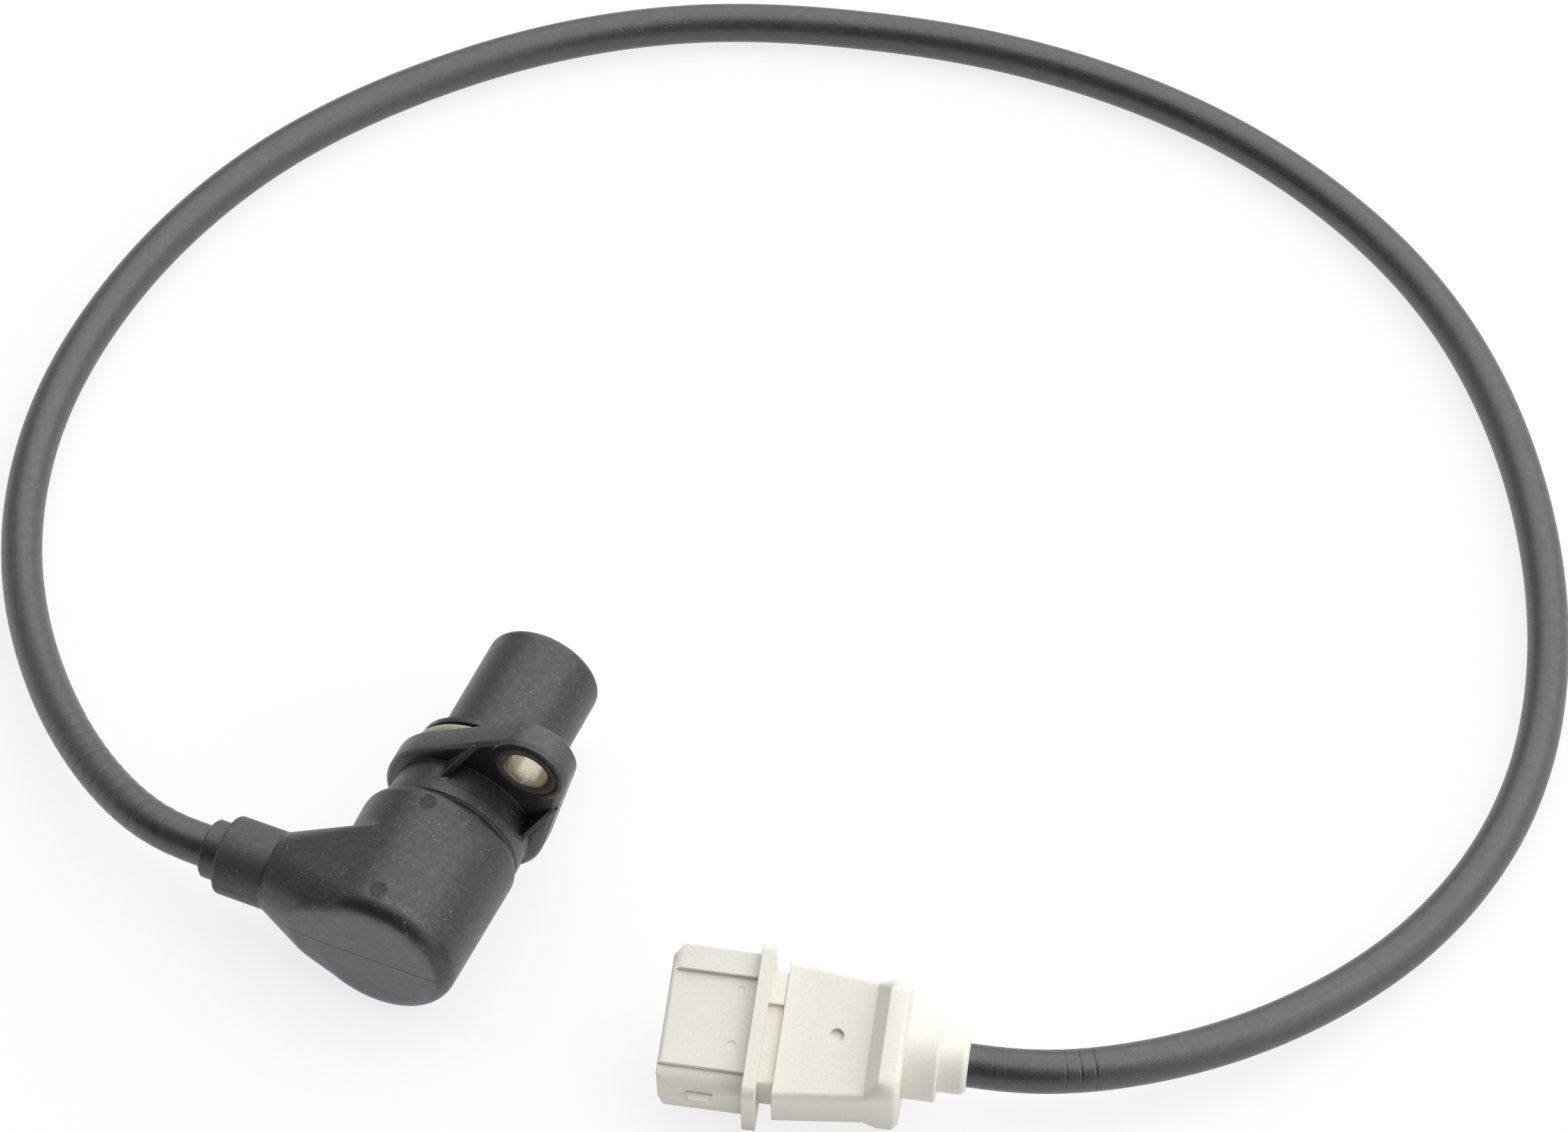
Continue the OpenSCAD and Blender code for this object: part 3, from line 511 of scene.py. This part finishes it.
for i in range(len(stations) - 1):
    for j in range(LEAD_SIDES):
        k = (j + 1) % LEAD_SIDES
        ring, following = i * LEAD_SIDES, (i + 1) * LEAD_SIDES
        faces.append((ring + j, following + j, following + k, ring + k))
faces.append(tuple(range(LEAD_SIDES)))
faces.append(tuple((len(stations) - 1) * LEAD_SIDES + j for j in reversed(range(LEAD_SIDES))))
lead_mesh = bpy.data.meshes.new("lead")
lead_mesh.from_pydata(points, [], faces)
lead_mesh.polygons.foreach_set("use_smooth", [True] * (len(faces) - 2) + [False] * 2)
lead_mesh.attributes.new("crease_shade", "FLOAT", "POINT").data.foreach_set("value", crease_shade_share)
lead = bpy.data.objects.new("lead", lead_mesh)
bpy.context.scene.collection.objects.link(lead)

JACKET_DARK, JACKET_PALE = (0.024, 0.024, 0.0255), (0.042, 0.0415, 0.0435)
CREASE_SHADE_BLACK, JACKET_DUST = (0.004, 0.004, 0.004), (0.4, 0.4, 0.41)
jacket, tree, skin = finish_of("jacket_rubber", (0.034, 0.034, 0.038), rough=0.42)
skin.inputs["IOR"].default_value = 1.75
where = on_part(tree)
colour = shades(tree, cloud(tree, where, size=1.5, detail=6.0), JACKET_DARK, JACKET_PALE)
# Painted shade: the creases' cuts are darkened in the colour, the more the deeper they are.
crease_shade = tree.nodes.new("ShaderNodeAttribute")
crease_shade.attribute_name = "crease_shade"
colour = tinted(tree, product(tree, crease_shade.outputs["Fac"], 0.75), colour, CREASE_SHADE_BLACK)
colour = tinted(tree, product(tree, settled_dust(tree, where), 0.5), colour, JACKET_DUST)
tree.links.new(colour, skin.inputs["Base Color"])
tree.links.new(shades(tree, cloud(tree, where, size=0.7), 0.28, 0.44), skin.inputs["Roughness"])
relief(tree, skin, cloud(tree, where, size=0.22, detail=5.0), depth=0.04)
lead_mesh.materials.append(jacket)
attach(lead, "root")
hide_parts("lead_jacket")

# Plug: an off-white three-way male plug. The front shell is one moulding, and the boot is moulded over its
# tongue, the soldered cores and the end of the jacket. The blades are stamped and tinned like the strips.
PALE_LOW, PALE_HIGH = (0.745, 0.72, 0.645), (0.815, 0.79, 0.715)
SOFT_EDGE = 0.0003


def pale_moulding(name):
    """Warm off-white plastic with a very fine moulded grain, slight clouds and softened edges."""
    finish, tree, skin = finish_of(name, (0.78, 0.75, 0.67), rough=0.45)
    where = on_part(tree)
    colour = shades(tree, cloud(tree, where, size=0.3, detail=5.0), PALE_LOW, PALE_HIGH)
    tree.links.new(colour, skin.inputs["Base Color"])
    edges = tree.nodes.new("ShaderNodeBevel")
    edges.samples = 6
    edges.inputs["Radius"].default_value = SOFT_EDGE
    tree.links.new(edges.outputs["Normal"], skin.inputs["Normal"])
    relief(tree, skin, cloud(tree, where, size=0.15, detail=2.0), depth=0.006)
    return finish


for node, finish_name in (("plug_shell", "shell_grey"), ("plug_boot", "boot_grey")):
    dress(node, pale_moulding(finish_name))
    ease(node)
for node in ("blade_left", "blade_middle", "blade_right"):
    dress(node, tinned)
dress("plug_core_left", brown_core)
dress("plug_core_right", white_core)
braid, tree, skin = finish_of("tinned_braid", (0.6, 0.6, 0.58), rough=0.4, metal=1.0)
clouded(tree, skin, size=0.8, share=0.12)
relief(tree, skin, cloud(tree, on_part(tree, squeeze=(6.0, 1.0, 1.0)), size=0.4), depth=0.04)
dress("plug_core_middle", braid)

# Studio: a plain white paper floor that keeps the shadow, light from all round that is dimmer in front
# and on the left, and two large soft lamps. The camera stands where the picture was taken from, with a
# long lens.
FLOOR_SIZE = 6.0
FLOOR_LEVEL = -0.0001
FLOOR_GLOW = 0.8
bpy.ops.mesh.primitive_plane_add(size=FLOOR_SIZE, location=(0, 0, FLOOR_LEVEL))
floor = bpy.context.object
floor.name = "floor"
paper, tree, skin = finish_of("white_paper", (0.9, 0.9, 0.9), rough=0.9)
seen = tree.nodes.new("ShaderNodeLightPath").outputs
in_view = reckon(tree, "MAXIMUM", seen["Is Camera Ray"], seen["Is Glossy Ray"])
in_view = reckon(tree, "MAXIMUM", in_view, seen["Is Transmission Ray"])
glow = tree.nodes.new("ShaderNodeEmission")
blend = tree.nodes.new("ShaderNodeMixShader")
tree.links.new(product(tree, in_view, FLOOR_GLOW), blend.inputs["Fac"])
tree.links.new(skin.outputs["BSDF"], blend.inputs[1])
tree.links.new(glow.outputs["Emission"], blend.inputs[2])
tree.links.new(blend.outputs["Shader"], tree.nodes["Material Output"].inputs["Surface"])
floor.data.materials.append(paper)

DARK_FRONT = (-0.1, -0.93, 0.35)
sky = bpy.data.worlds.new("studio")
bpy.context.scene.world = sky
sky.use_nodes = True
tree = sky.node_tree
light = tree.nodes["Background"]
light.inputs["Color"].default_value = (1.0, 1.0, 1.0, 1.0)
towards = tree.nodes.new("ShaderNodeTexCoord").outputs["Generated"]
facing = tree.nodes.new("ShaderNodeVectorMath")
facing.operation = "DOT_PRODUCT"
facing.inputs[1].default_value = DARK_FRONT
tree.links.new(towards, facing.inputs[0])
front = spread(tree, facing.outputs["Value"], 0.48, 0.6, 1.0, 0.1)
left = spread(tree, split_place(tree, towards)[0], -0.8, 0.3, 0.5, 1.0)
tree.links.new(product(tree, front, left), light.inputs["Strength"])

LIT_POINT = (0.03, 0.05, 0.0)


def aim(thing, at, point):
    """Puts a lamp or the camera at a place and turns it to a point."""
    thing.location = at
    thing.rotation_mode = "QUATERNION"
    thing.rotation_quaternion = (Vector(point) - Vector(at)).to_track_quat("-Z", "Y")
    bpy.context.scene.collection.objects.link(thing)


def softbox(name, at, size, power):
    """Large square lamp at a place, facing the middle of the loop."""
    lamp = bpy.data.lights.new(name, "AREA")
    lamp.size = size
    lamp.energy = power
    aim(bpy.data.objects.new(name, lamp), at, LIT_POINT)


softbox("top_lamp", (0.12, 0.55, 1.0), size=2.1, power=15.2)
softbox("right_lamp", (0.95, 0.1, 0.6), size=0.9, power=1.8)

CAMERA_PLACE = (0.2696, -0.48618, 0.73751)
CAMERA_AIM = (0.02787, 0.07225, 0.0)
camera = bpy.data.objects.new("camera", bpy.data.cameras.new("camera"))
camera.data.sensor_width = 36.0
camera.data.lens = 140.72
camera.data.clip_end = 20.0
aim(camera, CAMERA_PLACE, CAMERA_AIM)
bpy.context.scene.camera = camera
bpy.context.scene.view_settings.view_transform = "Standard"
